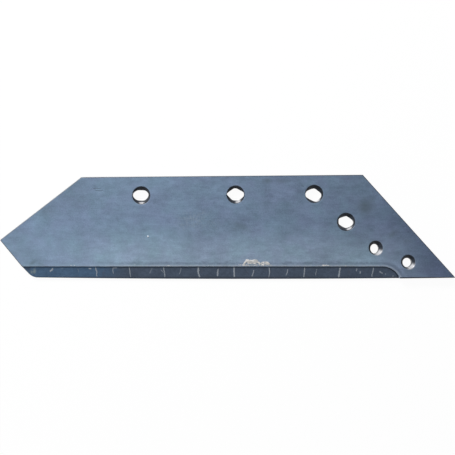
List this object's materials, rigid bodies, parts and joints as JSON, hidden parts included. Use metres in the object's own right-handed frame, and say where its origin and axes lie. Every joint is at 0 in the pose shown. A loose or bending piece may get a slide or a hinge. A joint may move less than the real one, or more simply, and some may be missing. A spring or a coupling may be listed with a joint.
{
  "type": "plough share",
  "caption": "Flat steel plough share: a long plate with a pointed nose, a hardfaced cutting edge in a milled groove, and countersunk holes for bolting it to the frog.",
  "frame": {"origin": "under the centre of the outline's box, on the back face", "axes": "+X along the cutting edge from the heel to the nose, +Y from the cutting edge to the back edge, +Z out of the soil face; the share lies on its back face at Z = 0"},
  "size_m": [0.58, 0.1331, 0.011],
  "materials": {
    "blade_steel": "thin blue-grey shop coat over scaled hardened steel, satin, faintly mottled and brushed lengthwise",
    "hard_alloy": "dark blue-grey carbide weld, dressed flat, satin, with pale check cracks across it"
  },
  "bodies": {
    "root": {"share_blade": "blade_steel", "hardfacing_strip": "hard_alloy"}
  },
  "joints": []
}
